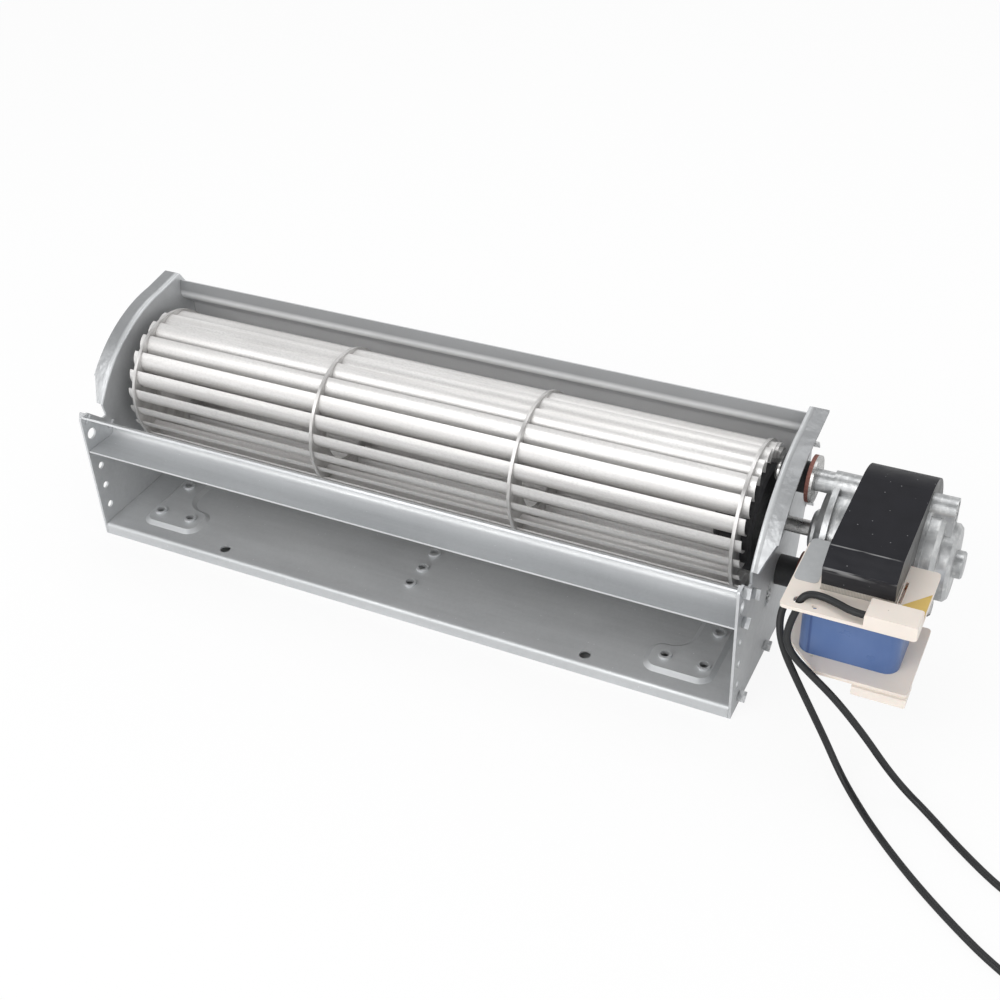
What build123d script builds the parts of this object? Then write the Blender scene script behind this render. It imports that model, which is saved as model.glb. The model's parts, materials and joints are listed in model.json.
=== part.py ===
from build123d import *
import os
from math import cos, pi, radians, sin, sqrt, tan

# A cross flow blower: a sheet steel housing, a three section drum impeller, a shaded pole motor.
# X runs along the impeller axis, Y from the outlet to the back, Z up.
# The origin is midway between the two front fixing holes, on the underside of the floor.

# Housing
end_space = 10.0  # from the middle of an end disc to the end plate
plate_t = 1.0
sheet_t = 0.8
front_y = -5.6
lip_drop = 4.6  # the end plates and the front lip stand this far below the floor
sheet_gap = 0.1  # between a folded sheet and the end plate it butts against
bend_r = 1.6
cut_over = 1.0  # reach of a cut past the faces that it opens

# Impeller
rotor_d = 60.0
rotor_y = 47.3
rotor_z = 50.8
section_count = 3
section_length = 90.0
blade_count = 22
blade_t = 0.5
blade_overhang = 3.2
blade_rim = 1.1  # metal of a disc left outside the blade slots
blade_depth = 6.0
blade_lean = 16.0  # degrees that the inner edge runs ahead of the outer edge
blade_crown = 2.1
slot_gap = 0.1
disc_t = 1.3
mid_disc_bore_r = 18.5

# Scroll and tongue
scroll_gap = 2.7  # from the impeller to the back wall
scroll_r = 37.1
wall_bend_z = 74.4
wall_bend_r = 3.0
wall_top_y = 72.9
wall_top_z = 83.9
tongue_top_z = 56.1
tongue_nose_y = 16.9
tongue_nose_z = 38.7
tongue_front_z = 39.6
tongue_setback = 0.4  # of its two front edges behind the end plates
tongue_r = 2.6

# End plate outline
plate_margin = 0.6  # of the end plate behind the scroll
plate_back_foot_y = 64.9
plate_tip_y = 73.4
plate_tip_z = 87.0
plate_bulge = 1.4  # of the lower back corner outside the scroll
plate_bulge_angle = 38.0
flange_w = 6.8
flange_bend_r = 0.8
flange_foot_y = 8.7
flange_foot_z = 55.1
flange_crest_y = 60.0
flange_crest_z = 85.0
flange_mid_y = 28.6
flange_mid_z = 75.0
notch_z = 49.0
notch_w = 2.4
notch_lean = 1.0
plate_front_top_z = 56.3
plate_front_top_l = 5.0
plate_front_chamfer = 0.5
foot_cut_w = 5.3  # length of the slanting end of the flange across its width
foot_cut_run = 9.0

# Tabs that hold the sheets to the end plates
tab_w = 4.2
tab_out = 3.0
tab_twist = 35.0
tab_gap = 0.12
tab_neck = 0.3  # straight part of a tab outside the end plate, before its twist
floor_tab_ys = (2.6, 33.5)
wall_tab_zs = (38.0, 66.0)
tongue_upper_tabs = (4.0, 20.0)  # along the upper leg from its front edge
tongue_lower_tab_y = -0.2

# Fixing holes
floor_hole_pitch = 169.4
floor_hole_r = 2.3
plate_hole_y = -0.3
plate_hole_z = 8.2
plate_hole_pitch = 10.4
plate_hole_count = 3
plate_hole_r = 1.6
plate_big_hole_y = -1.2
plate_big_hole_z = 46.3
plate_big_hole_r = 2.5

# Embossed pads with drawn screw holes
pad_h = 1.4
pad_draft = 55.0
pad_corner_r = 6.0
pad_inner_r = 7.6
pad_front = 9.0  # from the front holes to the pad's front edge
pad_side = 7.6
pad_edge = 5.4
pad_arm = 15.0
pad_bar = 17.0
pad_length = 42.0
left_pad_x = -126.4
right_pad_x = 129.6
pad_y = 10.6
pad_hole_dx = 15.8
pad_hole_dy = 20.4
pad_hole_skew = 0.6
collar_r = 2.7
collar_bore_r = 1.75
collar_h = 1.0
centre_hole_x = 0.6
centre_hole_y = 11.4
centre_hole_pitch = 10.8
centre_hole_count = 3

# Lanced lugs in the end plates and windows in the scroll
lug_y = 33.0
lug_z = 24.6
lug_w = 3.4
lug_slit = 0.9
lug_length = 8.0
lug_lean = 35.0
lug_bulge = 1.4
lug_foot = 0.9
window_xs = (-78.0, 26.5)
window_angle = -40.0
window_w = 6.0
window_h = 2.6
window_hole_r = 1.2
window_hole_pitch = 5.4
window_hole_drop = 5.2

# Shaft, hubs and the left bearing
shaft_r = 3.0
running_gap = 0.05
hub_sleeve_r = 5.5
hub_sleeve_gap = 1.0  # from the sleeve to the end plate
rubber_flange_r = 21.0
rubber_flange_t = 4.0
rubber_neck_r = 12.0
rubber_drum_r = 14.0
rubber_drum_l = 12.5
rubber_drum_edge = 1.5
rubber_flange_edge = 1.0
hub_seat_gap = 0.05
stub_out = 5.0  # of the stub shaft outside the end plate
stub_short = 0.5  # of the stub shaft inside the left hub
shaft_chamfer = 0.4
shaft_in = 1.0  # of the motor shaft past the rubber hub, into the impeller
left_hub_r = 9.0
left_hub_flange_r = 15.0
left_hub_t = 3.0
left_hub_cone = 3.0
left_hub_nose = 2.0
hub_edge = 1.0
set_screw_r = 1.5
set_screw_in = 2.6  # from the sleeve's end
grommet_hole_r = 13.0
grommet_lip = 2.0
grommet_lip_t = 1.6
grommet_edge = 1.0
bush_r = 6.5
bush_length = 9.0
bush_out = 5.5  # of the left bush outside the end plate
bush_edge = 0.5
shaft_hole_r = 7.5

# Motor mounting on the right end plate
mount_dy = 1.5
mount_dz = 21.5
mount_hole_r = 5.0
rubber_foot_r = 6.0
rubber_foot_l = 8.0
rubber_foot_inner_t = 1.5
rubber_foot_inner_r = 7.0
rubber_foot_edge = 0.8
mount_washer_r = 9.0
fibre_washer_t = 1.5
steel_washer_t = 1.0
screw_r = 1.95
screw_gap = 0.1
screw_head_r = 3.6
screw_head_h = 2.3
screw_head_chamfer = 0.8
screw_slot_w = 0.8
screw_slot_depth = 1.1
screw_slot_angle = 25.0
mount_screw_grip = 7.5  # length of thread inside the post
bolt_end_gap = 2.0  # between the two screws that meet in a post
earth_screw_l = 4.0
earth_screw_y = 55.5
earth_screw_z = 20.4
earth_washer_r = 3.9
earth_washer_t = 0.7
earth_hole_r = 1.5

# Motor
stack_gap = 27.0  # from the end plate to the laminations
stack_t = 25.0
stack_r = 29.0
bore_r = 14.5
air_gap = 0.4
arm_inner = 13.4
arm_rise = 1.4  # of the arms' middle above the axis
arm_crest = 43.5
arm_reach = 51.5
arm_chamfer = 4.1
arm_face_z = 15.6
arm_face_y = 50.3
leg_depth = 12.4
bolt_hole_r = 2.2
slot_r = 17.2
slot_w = 1.6
slot_angles = (38.0, 68.0)
ring_w = 1.4
ring_proud = 1.4
end_ring_t = 1.6
end_ring_in = 1.0  # of the rotor's end rings inside its core

# Motor brackets
post_r = 5.0
post_nose_r = 4.15
post_nose_l = 6.5
cup_r = 21.0
cup_wall = 2.5
cup_rim_r = 23.5
cup_rim_t = 2.2
cup_skirt = 6.8
nose_r = 8.0
nose_out = 16.0
nose_l = 2.2
nose_edge = 1.0
nose_shoulder_r = 17.5
nose_shoulder_l = 3.2
nose_cone_r = 20.8
nose_wall = 3.2
bush_seat_out = 0.5  # of the bush's seat past the bush
front_bush_in = 1.5  # from the nose's end
rear_skirt = 5.0
rear_rim_r = 22.6
rear_rim_t = 1.4
rear_edge = 1.6
rear_wall_t = 2.4
rear_bush_in = 1.4
bridge_w = 10.0
bridge_t = 4.0
bridge_start_r = 12.0
ear_t = 4.2
ear_r = 5.6
bolt_recess = 2.5
bolt_recess_gap = 0.3
rear_hub_r = 14.6
rear_hub_out = 11.5
rear_hub_edge = 1.2
end_boss_r = 5.2
end_boss_out = 14.8
end_boss_edge = 0.5
end_pocket = 0.8  # between the shaft's end and the closed boss
motor_shaft_out = 1.6  # of the shaft past the rear bush
coil_end_gap = 2.5  # round the motor's rotor inside the cups
motor_bush_r = 5.0
motor_bush_l = 7.0
clip_r = 4.6
clip_t = 0.8
clip_gap = 0.3

# Coil
bobbin_w = 46.0
bobbin_front = 63.3
bobbin_back = 26.4
bobbin_t = 1.4
bobbin_clear = 0.2
tube_wall = 1.0
coil_w = 35.0
coil_front = 55.6
coil_back = 32.4
coil_corner_r = 5.0
coil_tape_t = 0.4
bobbin_corner_r = 1.5
corner_cut_x = 14.5
corner_cut_y = 14.0
lead_hole_x = 17.4
lead_hole_y = 58.9
lead_hole_r = 1.9
peep_hole_x = 11.5
peep_hole_y = 60.3
peep_hole_r = 1.1
lower_peep_in = 4.0
lower_peep_r = 0.6
slit_x = 13.6
slit_w = 1.0
slit_y = 47.6
slit_l = 12.0
cover_w = 17.5
cover_front = 64.4
cover_depth = 9.6
cover_h = 5.4
lower_cover_h = 3.6
cover_r = 0.8
lower_cover_more = 1.0
label_margin = 0.4
label_l = 24.5
label_front = 48.6
label_corner_r = 1.8
paper_t = 0.15
yellow_margin = 0.3
yellow_w = 8.0
yellow_l = 15.5
yellow_low_l = 6.5
yellow_gap = 0.2

# Leads, with hand chosen routes
lead_d = 2.6
lead_tip_d = 1.4
lead_tip_l = 6.0

# What follows is worked out from the values above
rotor_half = section_count * section_length / 2
plate_in = rotor_half + end_space
half = plate_in + plate_t
floor_z = sheet_t
rotor_r = rotor_d / 2
blade_outer_r = rotor_r - blade_rim
wall_in_y = rotor_y + rotor_r + scroll_gap
wall_out_y = wall_in_y + sheet_t
sheet_half = plate_in - sheet_gap
stack_x0 = half + stack_gap
stack_x1 = stack_x0 + stack_t
stack_mid = (stack_x0 + stack_x1) / 2
post_x0 = half + rubber_foot_l + fibre_washer_t + steel_washer_t
arm_mid_z = rotor_z + arm_rise
flange_top_z = arm_mid_z + arm_inner - sheet_gap
flange_under_z = arm_mid_z - arm_inner + sheet_gap
hub_sleeve_end = plate_in - hub_sleeve_gap
front_nose_x = stack_x0 - nose_out
front_bush_x = front_nose_x + front_bush_in
rear_bush_x = stack_x1 + rear_skirt - rear_wall_t + rear_bush_in
motor_shaft_end = rear_bush_x + motor_bush_l + motor_shaft_out
stand_z = -lip_drop


def along_x(face, x0, x1):
    return extrude(Plane.YZ.offset(x0) * face, amount=x1 - x0)


def rod(x0, x1, r, y=rotor_y, z=rotor_z):
    return along_x(Pos(y, z) * Circle(r), x0, x1)


def turned(points, y=rotor_y, z=rotor_z):
    profile = make_face(Polyline(*points, close=True))
    return Pos(0, y, z) * revolve(profile, axis=Axis.X)


def box(x0, x1, y0, y1, z0, z1):
    centre = Pos((x0 + x1) / 2, (y0 + y1) / 2, (z0 + z1) / 2)
    return centre * Box(x1 - x0, y1 - y0, z1 - z0)


def mounts():
    return [(rotor_y + s * mount_dy, rotor_z + s * mount_dz) for s in (1, -1)]


def folded_sheet(points, radii, thickness):
    """A closed face of constant thickness on the left of a filleted path."""
    path = FilletPolyline(*points, radius=radii)
    return make_face(offset(path, amount=thickness, side=Side.LEFT, closed=True))


def tab(y, z, lean, side, clearance=0.0, slot=False):
    """A tab in the direction lean, through the end plate on one side, with a twisted end."""
    wide = tab_w + 2 * clearance
    thick = sheet_t + 2 * clearance
    neck_end = half + (plate_t if slot else tab_neck)
    start = sheet_half - plate_t
    neck = Box(neck_end - start, wide, thick)
    shape = Pos((neck_end + start) / 2, 0, 0) * neck
    if not slot:
        head = Box(tab_out - tab_neck, wide, thick)
        shape += Pos((neck_end + half + tab_out) / 2, 0, 0) * Rot(tab_twist, 0, 0) * head
    shape = Pos(0, y, z) * Rot(lean, 0, 0) * shape
    return shape if side > 0 else mirror(shape, about=Plane.YZ)


def scroll_tabs():
    floor = [(y, sheet_t / 2, 0.0) for y in floor_tab_ys]
    wall = [(wall_in_y + sheet_t / 2, z, 90.0) for z in wall_tab_zs]
    return floor + wall


def tongue_legs():
    """Front edge, nose and lower front edge of the tongue's inner surface."""
    return (
        Vector(front_y + tongue_setback, tongue_top_z),
        Vector(tongue_nose_y, tongue_nose_z),
        Vector(front_y + tongue_setback, tongue_front_z),
    )


def tongue_tabs():
    top, nose, low = tongue_legs()
    run = (nose - top).normalized()
    across = Vector(-run.Y, run.X) * (sheet_t / 2)
    lean = Vector(1, 0).get_signed_angle(run)
    upper = []
    for along in tongue_upper_tabs:
        spot = top + run * along + across
        upper.append((spot.X, spot.Y, lean))
    back = (low - nose).normalized()
    share = (nose.X - tongue_lower_tab_y) / (nose.X - low.X)
    spot = nose + (low - nose) * share + Vector(-back.Y, back.X) * (sheet_t / 2)
    lean_low = Vector(-1, 0).get_signed_angle(back)
    return upper + [(spot.X, spot.Y, lean_low)]


def collar(x, y, z):
    return Pos(x, y, z) * Cylinder(collar_r, collar_h, align=(Align.CENTER, Align.CENTER, Align.MIN))


def through_hole(x, y, r):
    top = floor_z + pad_h + collar_h
    return Pos(x, y, 0) * Cylinder(r, 2 * (top + cut_over))


def pad_outline():
    """The L shaped outline of a pad, seen from above, with its corner hole at the origin."""
    left, right = -pad_edge, pad_hole_dx + pad_side
    front, back = -pad_front, pad_length - pad_front
    points = [
        (left, front),
        (right, front),
        (right, front + pad_bar),
        (left + pad_arm, front + pad_bar),
        (left + pad_arm, back),
        (left, back),
    ]
    face = make_face(Polyline(*points, close=True))
    inner = face.vertices().sort_by_distance(points.pop(3))[0]
    face = fillet(inner, pad_inner_r)
    return fillet([face.vertices().sort_by_distance(p)[0] for p in points], pad_corner_r)


def pad(side):
    """The raised solid, the hollow under it and the hole places of one embossed pad."""
    outline = pad_outline()
    lean = radians(pad_draft)
    inset = sheet_t * (1 / cos(lean) - tan(lean))
    raised = Pos(0, 0, floor_z) * extrude(outline, amount=pad_h, taper=pad_draft)
    hollow = extrude(offset(outline, amount=-inset), amount=pad_h, taper=pad_draft)
    if side > 0:
        raised = mirror(raised, about=Plane.YZ)
        hollow = mirror(hollow, about=Plane.YZ)
    pad_x = right_pad_x if side > 0 else left_pad_x
    spots = [(0, 0), (pad_hole_dx, 0), (pad_hole_skew, pad_hole_dy)]
    holes = [(pad_x - side * x, pad_y + y) for x, y in spots]
    place = Pos(pad_x, pad_y, 0)
    return place * raised, place * hollow, holes


def scroll_wall():
    """Floor, front lip, rounded back wall and its leaning top edge, folded from one sheet."""
    points = [
        (front_y, stand_z),
        (front_y, floor_z),
        (wall_in_y, floor_z),
        (wall_in_y, wall_bend_z),
        (wall_top_y, wall_top_z),
    ]
    face = folded_sheet(points[::-1], [wall_bend_r, scroll_r, bend_r], sheet_t)
    body = along_x(face, -sheet_half, sheet_half)
    for side in (-1, 1):
        raised, hollow, holes = pad(side)
        body = body + raised - hollow
        for x, y in holes:
            body += collar(x, y, floor_z + pad_h)
            body -= through_hole(x, y, collar_bore_r)
    for i in range(centre_hole_count):
        y = centre_hole_y + i * centre_hole_pitch
        body += collar(centre_hole_x, y, floor_z)
        body -= through_hole(centre_hole_x, y, collar_bore_r)
    for side in (-1, 1):
        body -= through_hole(side * floor_hole_pitch / 2, 0, floor_hole_r)
        for y, z, lean in scroll_tabs():
            body += tab(y, z, lean, side)
    return body - scroll_windows()


def scroll_windows():
    """Lanced windows and their pairs of small holes in the curve of the scroll."""
    cy, cz = wall_in_y - scroll_r, floor_z + scroll_r
    cut_l = 2 * (sheet_t + cut_over)
    cuts = []
    for x in window_xs:
        spot = Pos(x, cy, cz) * Rot(window_angle, 0, 0) * Pos(0, scroll_r, 0)
        cuts.append(spot * Box(window_w, cut_l, window_h))
        for s in (-1, 1):
            hole = Rot(90, 0, 0) * Cylinder(window_hole_r, cut_l)
            cuts.append(spot * Pos(s * window_hole_pitch / 2, 0, -window_hole_drop) * hole)
    return Part() + cuts


def tongue_plate():
    """The folded channel whose nose runs close in front of the impeller."""
    top, nose, low = tongue_legs()
    points = [(top.X, top.Y), (nose.X, nose.Y), (low.X, low.Y)]
    body = along_x(folded_sheet(points, [tongue_r], sheet_t), -sheet_half, sheet_half)
    for side in (-1, 1):
        for y, z, lean in tongue_tabs():
            body += tab(y, z, lean, side)
    return body


def flange_centre():
    """Centre and radius of the arc through the foot, middle and crest of the flange."""
    arc = ThreePointArc(
        (flange_foot_y, flange_foot_z), (flange_mid_y, flange_mid_z), (flange_crest_y, flange_crest_z)
    )
    return arc.arc_center, arc.radius


def plate_outline():
    back = wall_out_y + plate_margin
    turn = radians(plate_bulge_angle)
    low_y = wall_in_y - scroll_r + (scroll_r + plate_bulge) * cos(turn)
    low_z = floor_z + scroll_r * (1 - sin(turn))
    low_arc = ThreePointArc((plate_back_foot_y, stand_z), (low_y, low_z), (back, floor_z + scroll_r))
    lines = Curve() + [
        Line((front_y, stand_z), (plate_back_foot_y, stand_z)),
        low_arc,
        Line((back, floor_z + scroll_r), (back, wall_bend_z)),
        Line((back, wall_bend_z), (plate_tip_y, plate_tip_z)),
        Line((plate_tip_y, plate_tip_z), (flange_crest_y, flange_crest_z)),
        ThreePointArc(
            (flange_crest_y, flange_crest_z), (flange_mid_y, flange_mid_z), (flange_foot_y, flange_foot_z)
        ),
        Polyline(
            (flange_foot_y, flange_foot_z),
            (flange_foot_y + notch_lean, notch_z),
            (flange_foot_y + notch_lean - notch_w, notch_z),
            (front_y + plate_front_top_l, plate_front_top_z),
            (front_y + plate_front_chamfer, plate_front_top_z),
            (front_y, plate_front_top_z - plate_front_chamfer),
            (front_y, stand_z),
        ),
    ]
    return make_face(lines)


def flange_strip():
    """The bent edge over the impeller, as a face one plate thick under the outline."""
    centre, radius = flange_centre()
    outer = ThreePointArc(
        (flange_foot_y, flange_foot_z), (flange_mid_y, flange_mid_z), (flange_crest_y, flange_crest_z)
    )
    inner_r = radius - plate_t
    foot = centre + (Vector(flange_foot_y, flange_foot_z) - centre).normalized() * inner_r
    mid = centre + (Vector(flange_mid_y, flange_mid_z) - centre).normalized() * inner_r
    crest = centre + (Vector(flange_crest_y, flange_crest_z) - centre).normalized() * inner_r
    tip = Vector(plate_tip_y, plate_tip_z)
    rise = (tip - Vector(flange_crest_y, flange_crest_z)).normalized()
    under = Vector(rise.Y, -rise.X) * plate_t
    lines = Curve() + [
        outer,
        Line((flange_crest_y, flange_crest_z), (tip.X, tip.Y)),
        Line((tip.X, tip.Y), (tip.X + under.X, tip.Y + under.Y)),
        Line((tip.X + under.X, tip.Y + under.Y), (crest.X, crest.Y)),
        ThreePointArc((crest.X, crest.Y), (mid.X, mid.Y), (foot.X, foot.Y)),
        Line((foot.X, foot.Y), (flange_foot_y, flange_foot_z)),
    ]
    return make_face(lines)


def flange_bend(body):
    """The two edges of the bend between the end plate and its flange."""
    tip_y = (flange_crest_y + plate_tip_y) / 2
    tip_z = (flange_crest_z + plate_tip_z) / 2
    spots = [(plate_in, flange_mid_y, flange_mid_z), (plate_in, tip_y, tip_z)]
    return [body.edges().sort_by_distance(spot)[0] for spot in spots]


def flange_end_cut():
    """The slanting end of the flange at its foot."""
    outer = half + flange_w
    corner = [(outer - foot_cut_w, 0), (outer, 0), (outer, foot_cut_run)]
    wedge = extrude(make_face(Polyline(*corner, close=True)), amount=2 * foot_cut_run)
    return Pos(0, flange_foot_y - plate_t, flange_foot_z - foot_cut_run) * wedge


def end_plate(side):
    face = plate_outline()
    for i in range(plate_hole_count):
        face -= Pos(plate_hole_y, plate_hole_z + i * plate_hole_pitch) * Circle(plate_hole_r)
    face -= Pos(plate_big_hole_y, plate_big_hole_z) * Circle(plate_big_hole_r)
    if side < 0:
        face -= Pos(rotor_y, rotor_z) * Circle(grommet_hole_r)
    else:
        face -= Pos(rotor_y, rotor_z) * Circle(shaft_hole_r)
        face -= Pos(earth_screw_y, earth_screw_z) * Circle(earth_hole_r)
        for y, z in mounts():
            face -= Pos(y, z) * Circle(mount_hole_r)
    lug = Pos(lug_y, lug_z) * Rot(0, 0, -lug_lean)
    for s in (-1, 1):
        face -= lug * Pos(s * (lug_w + lug_slit) / 2, 0) * Rectangle(lug_slit, lug_length)
    body = along_x(face, plate_in, half) + along_x(flange_strip(), plate_in, half + flange_w)
    body = fillet(flange_bend(body), flange_bend_r)
    body -= flange_end_cut()
    body += along_x(lug * Rectangle(lug_w, lug_length - 2 * lug_foot), half, half + lug_bulge / 2)
    if side < 0:
        body = mirror(body, about=Plane.YZ)
    for y, z, lean in scroll_tabs() + tongue_tabs():
        body -= tab(y, z, lean, side, clearance=tab_gap, slot=True)
    return body


def blade_arc(extra=0.0):
    """The middle line of a blade's section, from its outer to its inner edge, about the axis."""
    inner_r = blade_outer_r - blade_depth
    lean = radians(blade_lean)
    outer = Vector(blade_outer_r, 0)
    inner = Vector(inner_r * cos(lean), inner_r * sin(lean))
    run = (inner - outer).normalized()
    crown = Vector(run.Y, -run.X) * blade_crown
    middle = (outer + inner) * 0.5 + crown
    outer -= run * extra
    inner += run * extra
    return ThreePointArc((outer.X, outer.Y), (middle.X, middle.Y), (inner.X, inner.Y))


def blade_faces(thickness, extra=0.0):
    face = trace(blade_arc(extra), line_width=thickness)
    return [Pos(rotor_y, rotor_z) * Rot(0, 0, i * 360 / blade_count) * face for i in range(blade_count)]


def blades():
    reach = rotor_half + blade_overhang
    return [along_x(face, -reach, reach) for face in blade_faces(blade_t)]


def disc(x, bore):
    face = Pos(rotor_y, rotor_z) * (Circle(rotor_r) - Circle(bore))
    for slot in blade_faces(blade_t + 2 * slot_gap, slot_gap):
        face -= slot
    return along_x(face, x - disc_t / 2, x + disc_t / 2)


def hub_sleeve():
    """The metal sleeve in the rubber hub, with its set screw hole near the end plate."""
    x0 = rotor_half - rubber_drum_l
    sleeve = rod(x0, hub_sleeve_end, hub_sleeve_r) - rod(x0, hub_sleeve_end, shaft_r + hub_seat_gap)
    return sleeve - set_screw(0.0)


def set_screw(shrink=hub_seat_gap):
    x = hub_sleeve_end - set_screw_in
    pin = Cylinder(set_screw_r - shrink, hub_sleeve_r, align=(Align.CENTER, Align.CENTER, Align.MIN))
    return Pos(x, rotor_y, rotor_z + shaft_r + 2 * hub_seat_gap) * pin


def rubber_hub():
    """The rubber drum that drives the impeller's right end disc."""
    x0 = rotor_half - rubber_drum_l
    face = rotor_half + disc_t / 2
    back = rotor_half - disc_t / 2
    bore = hub_sleeve_r + hub_seat_gap
    neck = rubber_neck_r - hub_seat_gap
    return turned(
        [
            (x0, bore),
            (x0, rubber_drum_r - rubber_drum_edge),
            (x0 + rubber_drum_edge, rubber_drum_r),
            (back, rubber_drum_r),
            (back, neck),
            (face, neck),
            (face, rubber_flange_r),
            (face + rubber_flange_t - rubber_flange_edge, rubber_flange_r),
            (face + rubber_flange_t, rubber_flange_r - rubber_flange_edge),
            (face + rubber_flange_t, bore),
        ]
    )


def left_hub():
    """The turned hub riveted into the left end disc."""
    face = -rotor_half - disc_t / 2
    back = -rotor_half + disc_t / 2
    bore = shaft_r + hub_seat_gap
    seat = left_hub_r - hub_seat_gap
    return turned(
        [
            (face - left_hub_t, bore),
            (face - left_hub_t, left_hub_r - hub_edge),
            (face - left_hub_t + hub_edge, left_hub_r),
            (face, left_hub_r),
            (face, seat),
            (back, seat),
            (back, left_hub_flange_r),
            (back + left_hub_t - hub_edge, left_hub_flange_r),
            (back + left_hub_t + left_hub_cone, left_hub_r),
            (left_hub_end(), bore),
        ]
    )


def left_hub_end():
    return -rotor_half + disc_t / 2 + left_hub_t + left_hub_cone + left_hub_nose


def stub_shaft():
    shaft = rod(-half - stub_out, left_hub_end() - stub_short, shaft_r)
    return chamfer(shaft.edges().group_by(Axis.X)[0], shaft_chamfer)


def bearing_grommet():
    """The rubber ring in the left end plate that holds the sintered bush."""
    ring = grommet_hole_r - hub_seat_gap
    lip = grommet_hole_r + grommet_lip
    bore = bush_r + hub_seat_gap
    return turned(
        [
            (-half - grommet_lip_t, bore),
            (-half - grommet_lip_t, lip - grommet_edge),
            (-half - grommet_lip_t + grommet_edge, lip),
            (-half, lip),
            (-half, ring),
            (-plate_in, ring),
            (-plate_in, lip),
            (-plate_in + grommet_lip_t - grommet_edge, lip),
            (-plate_in + grommet_lip_t, lip - grommet_edge),
            (-plate_in + grommet_lip_t, bore),
        ]
    )


def sintered_bush(x0, length, r):
    bore = shaft_r + running_gap
    x1 = x0 + length
    return turned(
        [
            (x0, bore),
            (x0, r - bush_edge),
            (x0 + bush_edge, r),
            (x1 - bush_edge, r),
            (x1, r - bush_edge),
            (x1, bore),
        ]
    )


def rubber_foot(y, z):
    """A rubber bush clipped into the end plate, that carries one post of the motor."""
    bore = screw_r + screw_gap
    return turned(
        [
            (plate_in - rubber_foot_inner_t, bore),
            (plate_in - rubber_foot_inner_t, rubber_foot_inner_r),
            (plate_in, rubber_foot_inner_r),
            (plate_in, mount_hole_r - hub_seat_gap),
            (half, mount_hole_r - hub_seat_gap),
            (half, rubber_foot_r),
            (half + rubber_foot_l - rubber_foot_edge, rubber_foot_r),
            (half + rubber_foot_l, rubber_foot_r - rubber_foot_edge),
            (half + rubber_foot_l, bore),
        ],
        y,
        z,
    )


def washer(x, thickness, r, bore, y, z):
    return rod(x, x + thickness, r, y, z) - rod(x, x + thickness, bore, y, z)


def pan_screw(head_x, direction, length, y, z, r=screw_r):
    """A slotted screw whose head rests on the plane head_x, its shank towards direction."""
    outer = head_x - direction * screw_head_h
    low, high = sorted((outer, head_x))
    head = rod(low, high, screw_head_r * r / screw_r, y, z)
    rim = head.edges().group_by(Axis.X)[0 if direction > 0 else -1]
    head = chamfer(rim, screw_head_chamfer)
    slot = Box(2 * screw_slot_depth, 4 * screw_head_r, screw_slot_w)
    head -= Pos(outer, y, z) * Rot(screw_slot_angle, 0, 0) * slot
    low, high = sorted((head_x, head_x + direction * length))
    return head + rod(low, high, r, y, z)


def pole_angle(side, angle):
    return angle + (180 if side < 0 else 0)


def stack():
    """The laminated core: a round end about the impeller axis and two arms to the coil."""
    crest = stack_r - arm_rise
    upper = [
        (0, crest),
        (-arm_crest, crest),
        (-arm_reach, crest - arm_chamfer),
        (-arm_face_y, arm_face_z),
        (-arm_face_y + leg_depth, arm_face_z),
        (-arm_face_y + leg_depth, arm_inner),
        (0, arm_inner),
    ]
    arm = make_face(Polyline(*upper, close=True))
    face = Circle(stack_r) + Pos(0, arm_rise) * (arm + mirror(arm, about=Plane.XZ))
    window_back = bobbin_back - bobbin_clear
    window = Rectangle(arm_reach - window_back, 2 * arm_inner)
    face -= Pos(-(arm_reach + window_back) / 2, arm_rise) * window
    face -= Circle(bore_r)
    for s in (1, -1):
        face -= Pos(s * mount_dy, s * mount_dz) * Circle(bolt_hole_r)
        for angle in slot_angles:
            face -= Rot(0, 0, pole_angle(s, angle)) * Pos(slot_r, 0) * Rectangle(slot_w, slot_w)
    return along_x(Pos(rotor_y, rotor_z) * face, stack_x0, stack_x1)


def shading_rings():
    """A copper loop through the two slots of each pole."""
    rings = []
    for s in (1, -1):
        turn = Pos(0, rotor_y, rotor_z)
        bars = []
        spots = []
        for angle in slot_angles:
            a = radians(pole_angle(s, angle))
            spots.append((a, slot_r * cos(a), slot_r * sin(a)))
        for a, y, z in spots:
            bar = Box(stack_t + 2 * ring_proud, ring_w, ring_w)
            bars.append(Pos(stack_mid, y, z) * Rot(a * 180 / pi, 0, 0) * bar)
        (a0, y0, z0), (a1, y1, z1) = spots
        span = sqrt((y1 - y0) ** 2 + (z1 - z0) ** 2)
        lean = (a0 + a1) / 2 * 180 / pi
        for x in (stack_x0 - ring_proud / 2 - hub_seat_gap, stack_x1 + ring_proud / 2 + hub_seat_gap):
            link = Box(ring_proud - 2 * hub_seat_gap, ring_w, span + ring_w / 2)
            bars.append(Pos(x, (y0 + y1) / 2, (z0 + z1) / 2) * Rot(lean, 0, 0) * link)
        rings.append(turn * (Part() + bars))
    return rings


def coil_core():
    y0 = rotor_y - arm_face_y
    return box(stack_x0, stack_x1, y0, y0 + leg_depth, arm_mid_z - arm_face_z, arm_mid_z + arm_face_z)


def motor_rotor():
    r = bore_r - air_gap
    bore = shaft_r + hub_seat_gap
    return turned(
        [
            (stack_x0 - end_ring_t, bore),
            (stack_x0 - end_ring_t, r - end_ring_in),
            (stack_x0, r - end_ring_in),
            (stack_x0, r),
            (stack_x1, r),
            (stack_x1, r - end_ring_in),
            (stack_x1 + end_ring_t, r - end_ring_in),
            (stack_x1 + end_ring_t, bore),
        ]
    )


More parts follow.
